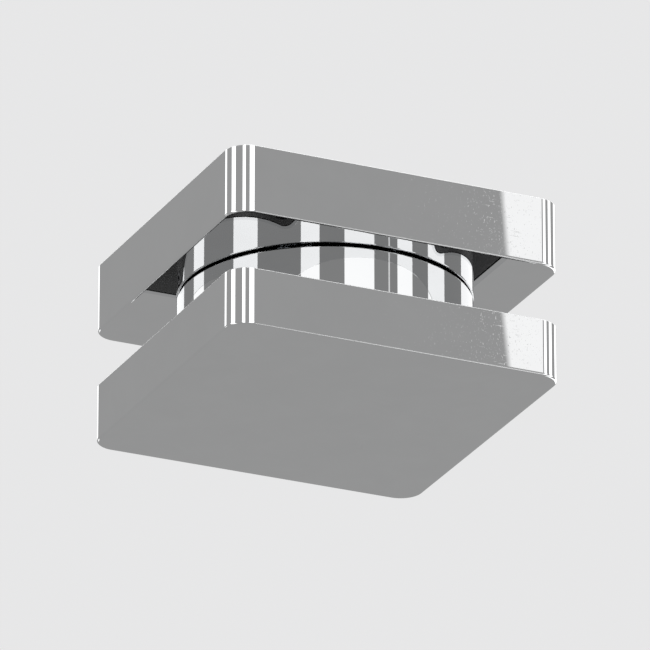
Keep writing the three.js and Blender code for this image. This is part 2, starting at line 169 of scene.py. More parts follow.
def loft(layers):
    """Solid through (outline, z) layers, capped at both ends."""
    shape = bmesh.new()
    rows = [[shape.verts.new((x, y, z)) for x, y in outline] for outline, z in layers]
    count = len(rows[0])
    for lower, upper in zip(rows, rows[1:]):
        for i in range(count):
            j = (i + 1) % count
            shape.faces.new((lower[i], lower[j], upper[j], upper[i]))
    shape.faces.new(list(reversed(rows[0])))
    shape.faces.new(rows[-1])
    return shape


def prism(outline, bottom, top):
    return loft([(outline, bottom), (outline, top)])


def edge_steps(bottom, top, bottom_edge, top_edge, steps):
    """(inset, z) pairs from bottom to top, with a quarter-round edge at each end."""
    angles = [pi / 2 * k / steps for k in range(steps + 1)]
    lower = [(bottom_edge * (1 - sin(a)), bottom + bottom_edge * (1 - cos(a))) for a in angles]
    upper = [(top_edge * (1 - cos(a)), top - top_edge * (1 - sin(a))) for a in angles]
    return lower + upper


def soft_block(side, radius, bottom, top, bottom_edge, top_edge, corner_steps=14, steps=6):
    return loft([(rounded_square(side - 2 * inset, radius - inset, corner_steps), z)
                 for inset, z in edge_steps(bottom, top, bottom_edge, top_edge, steps)])


def turn(profile, segments, start=0.0):
    """Turn (radius, z) points about Z. A profile that starts off the axis is closed on itself."""
    shape = bmesh.new()
    rings = []
    for radius, z in profile:
        if radius < 1e-9:
            rings.append([shape.verts.new((0, 0, z))])
        else:
            rings.append([shape.verts.new((x, y, z)) for x, y in circle(radius, segments, start)])
    pairs = list(zip(rings, rings[1:]))
    if profile[0][0] > 1e-9:
        pairs.append((rings[-1], rings[0]))
    for lower, upper in pairs:
        for i in range(segments):
            j = (i + 1) % segments
            if len(lower) == 1:
                shape.faces.new((lower[0], upper[j], upper[i]))
            elif len(upper) == 1:
                shape.faces.new((lower[i], lower[j], upper[0]))
            else:
                shape.faces.new((lower[i], lower[j], upper[j], upper[i]))
    bmesh.ops.recalc_face_normals(shape, faces=shape.faces)
    return shape


def turn_solid(profile, segments, start=0.0):
    """Turned solid: flat ends out from the axis to the first and last profile points."""
    ends = (0, profile[0][1]), (0, profile[-1][1])
    return turn(fillet([ends[0], *profile, ends[1]]), segments, start)


def cylinder(radius, bottom, top, segments):
    return turn_solid([(radius, bottom), (radius, top)], segments)


def post(radius, bottom, top, chamfer, segments):
    """Cylinder chamfered at the top."""
    return turn_solid([(radius, bottom), (radius, top - chamfer), (radius - chamfer, top)], segments)


def soft_disc(radius, bottom, top, chamfer, segments):
    """Disc chamfered at both ends."""
    return turn_solid([
        (radius - chamfer, bottom), (radius, bottom + chamfer),
        (radius, top - chamfer), (radius - chamfer, top),
    ], segments)


def bore_cutter(radius, bottom, top, lift, segments, chamfer=0.25):
    """Bore with a chamfered mouth, which ends at lift above the top face."""
    return turn_solid([
        (radius, bottom - PAST), (radius, top - chamfer),
        (radius + chamfer, top + lift), (radius + chamfer, top + PAST),
    ], segments)


def hole_cutter(radius, bottom, top, top_chamfer, lift=0.0, chamfer=0.2):
    """Through hole chamfered at both faces."""
    return turn_solid([
        (radius + chamfer, bottom - PAST), (radius + chamfer, bottom), (radius, bottom + chamfer),
        (radius, top - top_chamfer), (radius + top_chamfer, top + lift),
        (radius + top_chamfer, top + PAST),
    ], 64)


def pilot_cutter(tip, shoulder, mouth):
    """Blind screw hole with a coned end; mouth holds its last (radius, z) points."""
    return turn([(0, tip), (SCREW_PILOT_R, shoulder), *mouth, (0, mouth[-1][1])], 32)


def countersink_cutter(bottom, top):
    head, clear = 3.15, SCREW_CLEAR_R
    return turn_solid([
        (clear + 0.15, bottom - PAST), (clear + 0.15, bottom + 0.02), (clear, bottom + 0.2),
        (clear, top - 0.3 - (head - clear)), (head, top - 0.3), (head, top - 0.12),
        (head + 0.14, top + 0.02), (head + 0.14, top + PAST),
    ], 48)


def thread_rod(crest, root, pitch, bottom, top, segments=56):
    """A rod with a right-hand 60 degree thread, cut square at both ends."""
    overrun = 1.5    # turns made beyond each end, then cut away
    depth = crest - root
    flank = depth * tan(radians(30))
    flat_top = pitch * 0.14
    flat_root = pitch - flat_top - 2 * flank
    # (rise, radius) over one pitch
    tooth = [
        (0.0, root), (flat_root, root),
        (flat_root + flank * 0.5, root + depth * 0.5), (flat_root + flank, crest),
        (flat_root + flank + flat_top, crest),
        (flat_root + 1.5 * flank + flat_top, root + depth * 0.5),
    ]
    low = bottom - overrun * pitch
    count = ceil((top - bottom) / pitch + 2 * overrun) * segments
    shape = bmesh.new()
    rows = []
    for i in range(count + 1):
        angle = 2 * pi * i / segments
        rows.append([
            shape.verts.new((radius * cos(angle), radius * sin(angle),
                             low + pitch * i / segments + rise))
            for rise, radius in tooth
        ])
    for i in range(count):
        for j in range(len(tooth) - 1):
            shape.faces.new((rows[i][j], rows[i + 1][j], rows[i + 1][j + 1], rows[i][j + 1]))
        # the last flank meets the root one turn on
        if i + segments + 1 <= count:
            shape.faces.new((rows[i][-1], rows[i + 1][-1],
                             rows[i + 1 + segments][0], rows[i + segments][0]))
    for z, outward in ((bottom, (0, 0, -1)), (top, (0, 0, 1))):
        bmesh.ops.bisect_plane(
            shape, geom=shape.verts[:] + shape.edges[:] + shape.faces[:], dist=1e-6,
            plane_co=(0, 0, z), plane_no=outward, clear_outer=True)
        rim = [edge for edge in shape.edges
               if edge.is_boundary and all(abs(vert.co.z - z) < 1e-4 for vert in edge.verts)]
        bmesh.ops.holes_fill(shape, edges=rim, sides=0)
    bmesh.ops.remove_doubles(shape, verts=shape.verts, dist=1e-5)
    bmesh.ops.recalc_face_normals(shape, faces=shape.faces)
    return shape


def moved(shape, x, y, angle=0.0):
    matrix = Matrix.Translation((x, y, 0)) @ Matrix.Rotation(angle, 4, "Z")
    bmesh.ops.transform(shape, matrix=matrix, verts=shape.verts)
    return shape


def copies(make, places):
    """One shape at each place, all in one mesh."""
    together = bmesh.new()
    for x, y in places:
        shape = moved(make(), x, y)
        mesh = bpy.data.meshes.new("copy")
        shape.to_mesh(mesh)
        shape.free()
        together.from_mesh(mesh)
        bpy.data.meshes.remove(mesh)
    return together


# ------------------------------------------------------------------ objects

def as_object(shape, name="part"):
    mesh = bpy.data.meshes.new(name)
    shape.to_mesh(mesh)
    shape.free()
    piece = bpy.data.objects.new(name, mesh)
    scene.collection.objects.link(piece)
    return piece


def boolean(piece, other, operation):
    """Apply a boolean with another object, which is used up."""
    modifier = piece.modifiers.new("cut", "BOOLEAN")
    modifier.operation, modifier.solver, modifier.object = operation, "EXACT", other
    depsgraph = bpy.context.evaluated_depsgraph_get()
    depsgraph.update()
    result = bpy.data.meshes.new_from_object(piece.evaluated_get(depsgraph))
    piece.modifiers.clear()
    old, piece.data = piece.data, result
    bpy.data.meshes.remove(old)
    spent = other.data
    bpy.data.objects.remove(other)
    bpy.data.meshes.remove(spent)


def cut(piece, shape):
    boolean(piece, as_object(shape), "DIFFERENCE")


def join(piece, shape):
    boolean(piece, as_object(shape), "UNION")


def trim(piece, envelope):
    boolean(piece, as_object(envelope), "INTERSECT")


def chamfered_hexagon(across_flats, bottom, top, chamfer):
    """Hexagonal prism with its corners turned off at both ends, as on a nut."""
    piece = as_object(prism(hexagon(across_flats), bottom, top))
    face_r = across_flats / 2 - 0.1
    corner_r = across_flats / sqrt(3) + 0.2
    trim(piece, turn_solid([
        (face_r, bottom - 0.01), (corner_r, bottom + chamfer),
        (corner_r, top - chamfer), (face_r, top + 0.01),
    ], 96))
    return piece


def join_cross(piece, half_length, half_thickness, bottom, top):
    """Two ribs crossing on the axis, along X and along Y."""
    join(piece, prism(rectangle(half_length, half_thickness), bottom, top))
    join(piece, prism(rectangle(half_thickness, half_length), bottom, top))


def finish_piece(piece, name, body, node, slot, sharp_angle=32.0):
    """Clean mesh in metres, shading, material, and its place in the frame."""
    mesh = piece.data
    shape = bmesh.new()
    shape.from_mesh(mesh)
    bmesh.ops.remove_doubles(shape, verts=shape.verts, dist=2e-5)
    bmesh.ops.dissolve_degenerate(shape, edges=shape.edges, dist=1e-5)
    loose = [vert for vert in shape.verts if not vert.link_faces]
    bmesh.ops.delete(shape, geom=loose, context="VERTS")
    bmesh.ops.recalc_face_normals(shape, faces=shape.faces)
    bmesh.ops.scale(shape, vec=(0.001, 0.001, 0.001), verts=shape.verts)
    shape.to_mesh(mesh)
    shape.free()
    mesh.polygons.foreach_set("use_smooth", [True] * len(mesh.polygons))
    mesh.set_sharp_from_angle(angle=radians(sharp_angle))
    mesh.materials.clear()
    mesh.materials.append(MATERIALS[slot])
    piece.name = name
    mesh.name = name
    normals = piece.modifiers.new("normals", "WEIGHTED_NORMAL")
    normals.keep_sharp = True
    normals.weight = 100
    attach(piece, body)
    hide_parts(node)


# ------------------------------------------------------------------ shader nodes

def rgba(colour):
    return colour if isinstance(colour, bpy.types.NodeSocket) else (*colour, 1)


def scaled(colour, factor):
    return [c * factor for c in colour]


class Shader:
    """The node tree of a material or world. Node inputs take either a value or an output."""

    def __init__(self, owner):
        owner.use_nodes = True
        self.tree = owner.node_tree

    def fill(self, node, inputs):
        for key, value in inputs.items():
            if isinstance(value, bpy.types.NodeSocket):
                self.tree.links.new(value, node.inputs[key])
            else:
                node.inputs[key].default_value = value

    def add(self, kind, inputs=None, **settings):
        node = self.tree.nodes.new(kind)
        for key, value in settings.items():
            setattr(node, key, value)
        self.fill(node, inputs or {})
        return node

    def set_surface(self, inputs):
        self.fill(self.tree.nodes["Principled BSDF"], inputs)

    def coords(self, scale=(1000.0, 1000.0, 1000.0), rotation=(0.0, 0.0, 0.0)):
        """Object coordinates, in millimetres unless another scale is given."""
        source = self.add("ShaderNodeTexCoord").outputs["Object"]
        inputs = {"Vector": source, "Scale": scale, "Rotation": rotation}
        return self.add("ShaderNodeMapping", inputs).outputs["Vector"]

    def noise(self, vector, scale=1.0, detail=3.0, roughness=0.5, distortion=0.0):
        return self.add("ShaderNodeTexNoise", {
            "Scale": scale, "Detail": detail, "Roughness": roughness,
            "Distortion": distortion, "Vector": vector,
        }).outputs["Fac"]

    def remap(self, value, span, to=(0.0, 1.0), interpolation="LINEAR"):
        return self.add("ShaderNodeMapRange", {
            "From Min": span[0], "From Max": span[1],
            "To Min": to[0], "To Max": to[1], "Value": value,
        }, interpolation_type=interpolation).outputs["Result"]

    def math(self, operation, *values):
        return self.add("ShaderNodeMath", dict(enumerate(values)), operation=operation).outputs[0]

    def largest(self, values):
        result = values[0]
        for value in values[1:]:
            result = self.math("MAXIMUM", result, value)
        return result

    def mix_colour(self, factor, first, second):
        node = self.add("ShaderNodeMix", data_type="RGBA")
        self.fill(node, {0: factor, 6: rgba(first), 7: rgba(second)})
        return node.outputs[2]

    def mix_shader(self, factor, first, second):
        inputs = {"Fac": factor, 1: first, 2: second}
        return self.add("ShaderNodeMixShader", inputs).outputs["Shader"]

    def bump(self, height, strength, distance):
        inputs = {"Strength": strength, "Distance": distance, "Height": height}
        return self.add("ShaderNodeBump", inputs).outputs["Normal"]


# ------------------------------------------------------------------ materials

MATERIALS = {}    # by name, which is also the slot name


def new_material(name):
    MATERIALS[name] = bpy.data.materials.new(name)
    return Shader(MATERIALS[name])


def chrome(name, base, polish=0.005):
    """Mirror chrome: faint wiping haze and sparse hairline scratches in two directions."""
    shader = new_material(name)
    place = shader.coords()
    haze = shader.noise(place, scale=0.11, detail=4.0, roughness=0.62, distortion=0.4)
    fine = shader.noise(place, scale=1.7, detail=2.0)
    hairs = [
        shader.noise(shader.coords(scale=scale, rotation=rotation), detail=2.0, roughness=0.6)
        for scale, rotation in (
            ((240.0, 5200.0, 2600.0), (0.3, 0.2, 0.62)),
            ((4700.0, 260.0, 2300.0), (0.1, 0.4, -0.35)),
        )
    ]
    tint = shader.mix_colour(
        shader.remap(haze, span=(0.35, 0.7)), scaled(base, 0.985), scaled(base, 1.01))
    hazy = shader.remap(haze, span=(0.45, 0.75), to=(polish, polish + 0.007))
    grainy = shader.remap(fine, span=(0.55, 0.8), to=(0.0, 0.004))
    scratched = shader.remap(shader.largest(hairs), span=(0.66, 0.74), to=(0.0, 0.016))
    scratch = shader.remap(shader.largest(hairs), span=(0.66, 0.76))
    shader.set_surface({
        "Base Color": tint,
        "Metallic": 1.0,
        "Roughness": shader.math("ADD", shader.math("ADD", hazy, grainy), scratched),
        "Normal": shader.bump(scratch, strength=0.05, distance=0.000004),
    })


def zinc(name, base, spread=0.06, grain=(90.0, 2600.0, 2600.0), rough=(0.26, 0.42)):
    """Zinc-plated steel: cool mottled passivation over a grain."""
    shader = new_material(name)
    place = shader.coords()
    blotch = shader.noise(place, scale=0.16, detail=5.0, roughness=0.6, distortion=0.8)
    lines = shader.noise(shader.coords(scale=grain), roughness=0.6)
    speck = shader.noise(place, scale=5.0, detail=2.0)
    blotch_share, line_share, blue_gain = 0.65, 0.35, 1.4
    red, green, blue = base
    light = (red * (1 + spread), green * (1 + spread), blue * (1 + spread * blue_gain))
    shade = shader.math("ADD", shader.math("MULTIPLY", blotch, blotch_share),
                        shader.math("MULTIPLY", lines, line_share))
    shader.set_surface({
        "Base Color": shader.mix_colour(
            shader.remap(shade, span=(0.3, 0.7)), scaled(base, 1 - spread), light),
        "Metallic": 1.0,
        "Roughness": shader.math(
            "ADD", shader.remap(lines, span=(0.3, 0.7), to=rough),
            shader.remap(speck, span=(0.5, 0.8), to=(0.0, 0.06))),
        "Normal": shader.bump(lines, strength=0.35, distance=0.000012),
    })


def turned_steel(name, base, rough=(0.20, 0.36)):
    """Steel with the fine rings a lathe leaves, and a thin film of oil."""
    shader = new_material(name)
    place = shader.coords()
    rings = shader.noise(shader.coords(scale=(120.0, 120.0, 5200.0)), detail=2.0, roughness=0.6)
    oil = shader.noise(place, scale=0.35, detail=4.0, roughness=0.6, distortion=0.5)
    shader.set_surface({
        "Base Color": shader.mix_colour(
            shader.remap(oil, span=(0.35, 0.7)), scaled(base, 0.84), base),
        "Metallic": 1.0,
        "Roughness": shader.math(
            "ADD", shader.remap(rings, span=(0.3, 0.7), to=rough),
            shader.remap(oil, span=(0.4, 0.7), to=(0.04, -0.04))),
        "Normal": shader.bump(rings, strength=0.3, distance=0.00001),
    })


def bronze(name, base):
    """Sintered bronze: pores, oil-dark patches."""
    shader = new_material(name)
    place = shader.coords()
    pores = shader.add("ShaderNodeTexVoronoi", {"Scale": 5.5, "Vector": place})
    pit = shader.remap(pores.outputs["Distance"], span=(0.05, 0.28))
    patch = shader.noise(place, scale=0.4, detail=4.0, roughness=0.6, distortion=0.6)
    shade = shader.math("MULTIPLY", pit, shader.remap(patch, span=(0.3, 0.7), to=(0.55, 1.0)))
    shader.set_surface({
        "Base Color": shader.mix_colour(shade, scaled(base, 0.45), base),
        "Metallic": 1.0,
        "Roughness": shader.remap(patch, span=(0.3, 0.7), to=(0.30, 0.46)),
        "Normal": shader.bump(pit, strength=0.4, distance=0.00002),
    })


def black_plastic(name, base):
    """Moulded black plastic with a fine spark-eroded grain."""
    shader = new_material(name)
    place = shader.coords()
    grain = shader.noise(place, scale=3.2, roughness=0.55)
    cell = shader.add("ShaderNodeTexVoronoi", feature="SMOOTH_F1")
    shader.fill(cell, {"Scale": 3.6, "Vector": place})
    wipe = shader.noise(place, scale=0.12, roughness=0.6, distortion=0.5)
    grain_share = 0.6
    height = shader.math(
        "ADD", shader.math("MULTIPLY", grain, grain_share), cell.outputs["Distance"])
    shader.set_surface({
        "Base Color": shader.mix_colour(
            shader.remap(wipe, span=(0.3, 0.7)), scaled(base, 0.8), scaled(base, 1.35)),
        "Specular IOR Level": 0.32,
        "Roughness": shader.math(
            "ADD", shader.remap(grain, span=(0.3, 0.7), to=(0.44, 0.58)),
            shader.remap(wipe, span=(0.4, 0.7), to=(0.0, 0.05))),
        "Normal": shader.bump(height, strength=0.35, distance=0.00003),
    })


def dark_steel(name, base, edge, rough=(0.5, 0.32)):
    """Black oxide or phosphate on steel, a little thin in places."""
    shader = new_material(name)
    place = shader.coords()
    worn = shader.noise(place, scale=1.1, detail=5.0, roughness=0.65, distortion=0.5)
    grain = shader.noise(place, scale=6.0, detail=2.0)
    shader.set_surface({
        "Base Color": shader.mix_colour(shader.remap(worn, span=(0.52, 0.78)), base, edge),
        "Metallic": 1.0,
        "Roughness": shader.remap(worn, span=(0.3, 0.7), to=rough),
        "Normal": shader.bump(grain, strength=0.2, distance=0.00001),
    })


chrome("chrome_block", base=(0.86, 0.865, 0.87))
chrome("polished_ring", base=(0.60, 0.605, 0.61), polish=0.012)
zinc("zinc_plate", base=(0.54, 0.56, 0.58))
zinc("zinc_screw", base=(0.50, 0.51, 0.53), spread=0.07, grain=(1400.0, 1400.0, 1400.0),
     rough=(0.20, 0.32))
turned_steel("stud_steel", base=(0.60, 0.61, 0.63))
turned_steel("bush_steel", base=(0.54, 0.55, 0.57), rough=(0.26, 0.42))
dark_steel("spring_steel", base=(0.11, 0.115, 0.125), edge=(0.24, 0.25, 0.26))
bronze("bronze", base=(0.66, 0.47, 0.26))
black_plastic("black_cover", base=(0.0095, 0.0095, 0.010))
dark_steel("black_screw", base=(0.022, 0.022, 0.024), edge=(0.06, 0.06, 0.064))


# ------------------------------------------------------------------ socket

def corner_socket():
    """Hollow block open at the top, with a hub, crossed ribs and posts that carry the plate."""
    ledge = PLATE_BOTTOM - 0.2
    floor = SOCKET_BOTTOM + 2.0
    hub_r, foot_r, blend_r = 11, 11.6, 0.6
    piece = as_object(soft_block(SIDE, CORNER_R, SOCKET_BOTTOM, SOCKET_TOP,
                                 LOWER_EDGE_R, TOP_EDGE_R))
    cut(piece, prism(rounded_square(SIDE - 3.6, 2.6, 8), ledge, SOCKET_TOP + PAST))
    cut(piece, soft_block(SIDE - 5.0, 2.0, SOCKET_BOTTOM + 2.5, SOCKET_TOP - 1.9, 0.6, 0.0, 8, 3))
    foot = [(foot_r - blend_r * sin(angle), floor + 1.1 - blend_r * cos(angle))
            for angle in (0.0, 0.5, 1.0, pi / 2)]
    join(piece, turn_solid(
        [(foot_r, floor), *foot, (hub_r, ledge - 0.3), (hub_r - 0.3, ledge)], 80))
    join_cross(piece, HALF - 2.2, 0.9, floor, ledge - 3)
    join(piece, copies(lambda: post(3.5, floor, ledge, 0.25, 40), PLATE_SCREWS))
    join(piece, copies(lambda: post(4.3, floor, ledge, 0.25, 48), FIXINGS))
    cut(piece, prism(hexagon(BUSH_AF + HEX_PLAY), SOCKET_BOTTOM - PAST, ledge + PAST))
    mouth = [(SCREW_PILOT_R, ledge - 0.3), (1.95, ledge + 0.1), (1.95, ledge + PAST)]
    cut(piece, copies(lambda: pilot_cutter(23.6, 24.2, mouth), PLATE_SCREWS))
    cut(piece, copies(lambda: turn_solid([
        (4.3, SOCKET_BOTTOM - PAST), (4.3, SOCKET_BOTTOM + 0.1), (2.2, SOCKET_BOTTOM + 2.2),
        (2.2, ledge - 0.25), (2.5, ledge + 0.1), (2.5, ledge + PAST),
    ], 40), FIXINGS))
    finish_piece(piece, "socket_block", "socket", "corner_socket", "chrome_block")


def threaded_bush():
    """Flanged hexagonal insert with an M10 thread, coned at both mouths."""
    flange_top = SOCKET_BOTTOM - 0.2
    cone_r, cone_start = 4.4, 0.03
    piece = chamfered_hexagon(BUSH_AF, BUSH_BOTTOM + 0.6, BUSH_TOP, 0.4)
    join(piece, turn_solid(
        [(BUSH_FLANGE_R, BUSH_BOTTOM, 0.4, 5), (BUSH_FLANGE_R, flange_top, 0.25, 4)], 96))
    cut(piece, thread_rod(5.05, 4.22, PITCH, BUSH_BOTTOM - 2, BUSH_TOP + 2))
    cut(piece, turn_solid(
        [(7.455, BUSH_BOTTOM - PAST), (cone_r, BUSH_BOTTOM + 1.3)], 64, cone_start))
    cut(piece, turn_solid([(cone_r, BUSH_TOP - 0.9), (6.878, BUSH_TOP + PAST)], 64, cone_start))
    finish_piece(piece, "bush_steel_insert", "socket", "threaded_bush", "bush_steel")


def mounting_plate():
    def hole(radius):
        return hole_cutter(radius, PLATE_BOTTOM, PLATE_TOP, top_chamfer=0.22, lift=0.01)

    piece = as_object(soft_block(2 * PLATE_HALF, 2.4, PLATE_BOTTOM, PLATE_TOP, 0.2, 0.2, 8, 3))
    cut(piece, hole(6.0))
    cut(piece, copies(lambda: hole(2.4), FIXINGS))
    cut(piece, copies(lambda: countersink_cutter(PLATE_BOTTOM, PLATE_TOP), PLATE_SCREWS))
    finish_piece(piece, "plate_zinc", "socket", "mounting_plate", "zinc_plate")


def screw_piece(top, tip):
    """M3 countersunk screw: soft-edged head with a hexagon recess, and a rolled thread."""
    head_r, crest, root, pitch = 2.9, 1.48, 1.2, 0.5
    shank_top = top - 0.25 - (head_r - 1.42)
    piece = as_object(thread_rod(crest, root, pitch, tip - 0.5, shank_top - 0.1, 32))
    trim(piece, turn_solid([(1.0, tip), (1.5, tip + 0.5), (1.5, shank_top + 1)], 48))
    join(piece, turn_solid([
        (1.3, shank_top - 0.6), (1.3, shank_top - 0.12),
        (head_r, top - 0.25, 0.08, 3), (head_r, top, 0.1, 4),
    ], 64))
    # recess: hexagon, drilled bottom, coned mouth
    cut(piece, prism(hexagon(2.0), top - 1.2, top + PAST))
    cut(piece, turn([(0, top - 1.5), (1.02, top - 1.05), (1.02, top - 0.9), (0, top - 0.9)], 32))
    cut(piece, turn([(0, top - 1.16), (1.28, top + 0.12), (0, top + 0.12)], 48))
    return piece


def screws(name, node, places, face, body, slot):
    """Four copies of one screw, each turned differently; the first made is placed last."""
    first = screw_piece(face - SCREW_SINK, extent(f"{node}_1")[0])
    angles = (0.35, 1.9, 3.3, 5.1)
    for i, ((x, y), angle) in enumerate(zip(places, angles)):
        if i == len(places) - 1:
            piece = first
        else:
            piece = bpy.data.objects.new("part", first.data.copy())
            scene.collection.objects.link(piece)
        piece.data.transform(Matrix.Translation((x, y, 0)) @ Matrix.Rotation(angle, 4, "Z"))
        finish_piece(piece, f"{name}_{i + 1}", body, f"{node}_{i + 1}", slot)


# ------------------------------------------------------------------ ring and stud

def adjusting_ring():
    """Round ring, pocketed from above, with a hub, six ribs and a seat for the stud's collar."""
    web, hub_top, hub_r, rim = 13.4, 16.2, 12.6, 21.3
    rib_count, rib_half, overlap = 6, 0.8, 0.5
    edges = edge_steps(RING_BOTTOM, RING_TOP, RING_EDGE_R, RING_EDGE_R, 5)
    piece = as_object(loft([(circle(RING_R - inset, 288), z) for inset, z in edges]))
    cut(piece, turn_solid([
        (rim, web, 0.7, 5), (rim, RING_TOP - 0.3),
        (rim + 0.32, RING_TOP + 0.02), (rim + 0.32, RING_TOP + PAST),
    ], 144))
    join(piece, turn_solid([(hub_r, web - overlap), (hub_r, hub_top, 0.35, 4)], 96))
    inner, outer = hub_r - overlap, rim + overlap
    outline = [(inner, -rib_half), (outer, -rib_half), (outer, rib_half), (inner, rib_half)]
    for i in range(rib_count):
        rib = prism(outline, web - overlap, hub_top - 0.6)
        join(piece, moved(rib, 0, 0, 2 * pi * i / rib_count))
    cut(piece, bore_cutter(5.15, RING_BOTTOM, hub_top, lift=0.02, segments=80))
    cut(piece, prism(hexagon(COLLAR_AF + HEX_PLAY), RING_BOTTOM - PAST, COLLAR_TOP + 0.1))
    cut(piece, turn_solid([
        (13.4, RING_BOTTOM - PAST), (13.4, RING_BOTTOM - 0.01),
        (13.0, RING_BOTTOM + 0.35), (13.0, COLLAR_BOTTOM),
    ], 96))
    finish_piece(piece, "ring_polished", "adjuster", "adjusting_ring", "polished_ring", 30.0)


def threaded_stud():
    """Plain journal below, hexagonal collar, then an M10 thread with a hexagon socket on top."""
    neck, top = 17.6, STUD_TOP
    journal_r, crest, shoulder_r = 4.0, 4.95, 4.9
    piece = as_object(thread_rod(crest, 4.12, PITCH, neck - 0.4, top))
    trim(piece, turn_solid([
        (4.05, neck - 1), (4.15, neck - 0.1), (crest, neck + 0.75), (5.2, neck + 0.9),
        (5.2, top - 1.0), (crest, top - 0.95), (4.0, top - 0.02), (3.9, top),
    ], 96))
    join(piece, turn_solid([
        (journal_r, STUD_BOTTOM, 0.4, 4),
        (journal_r, 3.5), (JOURNAL_GROOVE_R, 3.5), (JOURNAL_GROOVE_R, 4.6), (journal_r, 4.6),
        (journal_r, COLLAR_BOTTOM + 0.5), (shoulder_r, COLLAR_BOTTOM + 0.5),
        (shoulder_r, 16.3), (RING_GROOVE_R, 16.3), (RING_GROOVE_R, 17.4),
        (shoulder_r, 17.4, 0.1, 2), (shoulder_r, neck - 0.15, 0.2, 3), (4.1, neck + 0.35),
    ], 96))
    boolean(piece, chamfered_hexagon(COLLAR_AF, COLLAR_BOTTOM, COLLAR_TOP, 0.7), "UNION")
    # socket: hexagon, drilled bottom, coned mouth
    cut(piece, prism(hexagon(5.0), top - 5, top + PAST))
    cut(piece, turn(
        [(0, top - 6.4), (2.46, top - 4.95), (2.46, top - 4.8), (0, top - 4.8)], 48, 0.03))
    cut(piece, turn([(0, top - 2.8), (3.15, top + 0.35), (0, top + 0.35)], 64, 0.02))
    finish_piece(piece, "stud_m10", "adjuster", "threaded_stud", "stud_steel")


def circlip(name, node, groove_r, outer, lug_r, turned):
    """External retaining ring: eccentric band with two holed lugs at the gap."""
    bottom = extent(node)[0]
    top = bottom + 0.9
    inner = groove_r + 0.1
    lug_at = outer - lug_r - 0.15
    lug_angle = radians(33)
    lug_x, lug_y = lug_at * cos(lug_angle), lug_at * sin(lug_angle)
    lugs = [(lug_x, -lug_y), (lug_x, lug_y)]
    shift = (outer - inner) * 0.16
    piece = as_object(moved(soft_disc(outer - 0.27, bottom, top, 0.08, 96), -shift, 0))
    for x, y in lugs:
        join(piece, moved(soft_disc(lug_r, bottom, top, 0.07, 40), x, y))
    cut(piece, cylinder(inner, bottom - PAST, top + PAST, 96))
    gap = lug_y - lug_r * 0.55
    wedge = [(0.5, -gap * 0.3), (outer * 1.5, -gap), (outer * 1.5, gap), (0.5, gap * 0.3)]
    cut(piece, prism(wedge, bottom - PAST, top + PAST))
    cut(piece, copies(lambda: cylinder(0.45, bottom - PAST, top + PAST, 24), lugs))
    piece.data.transform(Matrix.Rotation(radians(turned), 4, "Z"))
    finish_piece(piece, name, "adjuster", node, "spring_steel")


def washer(name, node, inner, soft, body, slot):
    bottom, top, outer = extent(node)
    corners = ((inner, bottom), (outer, bottom), (outer, top), (inner, top))
    profile = fillet([(x, z, soft, 3) for x, z in corners])
    finish_piece(as_object(turn(profile, 112)), name, body, node, slot)


# ------------------------------------------------------------------ base

def base_shell():
    """Hollow block open at the top, with a round cup, crossed ribs and screw posts."""
    floor, support = 1.6, 5.8
    piece = as_object(soft_block(SIDE, CORNER_R, 0, BASE_TOP, LOWER_EDGE_R, TOP_EDGE_R))
    cut(piece, prism(rounded_square(SIDE - 2.4, 3.0, 10), COVER_BOTTOM - 0.2, BASE_TOP + PAST))
    cut(piece, soft_block(SIDE - 4.0, 2.5, 2.0, BASE_TOP - 1.5, 0.5, 0.0, 8, 3))
    join(piece, post(13, floor, support, 0.2, 96))
    join_cross(piece, HALF - 1.7, 0.8, floor, support - 0.8)
    join(piece, copies(lambda: post(3.4, floor, support, 0.2, 40), COVER_SCREWS))
    cut(piece, cylinder(10, 2.0, support + PAST, 96))
    mouth = [(SCREW_PILOT_R, support + PAST)]
    cut(piece, copies(lambda: pilot_cutter(2.5, 2.9, mouth), COVER_SCREWS))
    finish_piece(piece, "base_block", "base", "base_shell", "chrome_block")


def bearing_plate():
    def hole(radius):
        return hole_cutter(radius, CARRIER_BOTTOM, CARRIER_TOP, top_chamfer=0.2)

    piece = as_object(
        soft_block(2 * CARRIER_HALF, 2.2, CARRIER_BOTTOM, CARRIER_TOP, 0.2, 0.2, 8, 3))
    cut(piece, hole(6.15))
    cut(piece, copies(lambda: hole(SCREW_CLEAR_R), COVER_SCREWS))
    finish_piece(piece, "carrier_zinc", "base", "bearing_plate", "zinc_plate")


def bearing_bush():
    """Flanged bush, its flange resting above the bearing plate."""
    bottom, top, flange_r = extent("bearing_bush")
    seat = CARRIER_TOP + 0.15
    bore_r, barrel_r = 4.08, 6.0
    profile = fillet([
        (bore_r, bottom, 0.2, 3), (barrel_r, bottom, 0.3, 3), (barrel_r, seat),
        (flange_r, seat, 0.1, 2), (flange_r, top, 0.25, 4), (bore_r, top, 0.3, 3),
    ])
    finish_piece(as_object(turn(profile, 112)), "bearing_bronze", "base", "bearing_bush", "bronze")


def base_cover():
    piece = as_object(
        soft_block(2 * COVER_HALF, 2.8, COVER_BOTTOM, COVER_TOP, 0.15, 0.28, 10, 4))
    cut(piece, bore_cutter(8.8, COVER_BOTTOM, COVER_TOP, lift=0.01, segments=96))
    cut(piece, copies(lambda: countersink_cutter(COVER_BOTTOM, COVER_TOP), COVER_SCREWS))
    finish_piece(piece, "cover_black", "base", "base_cover", "black_cover")


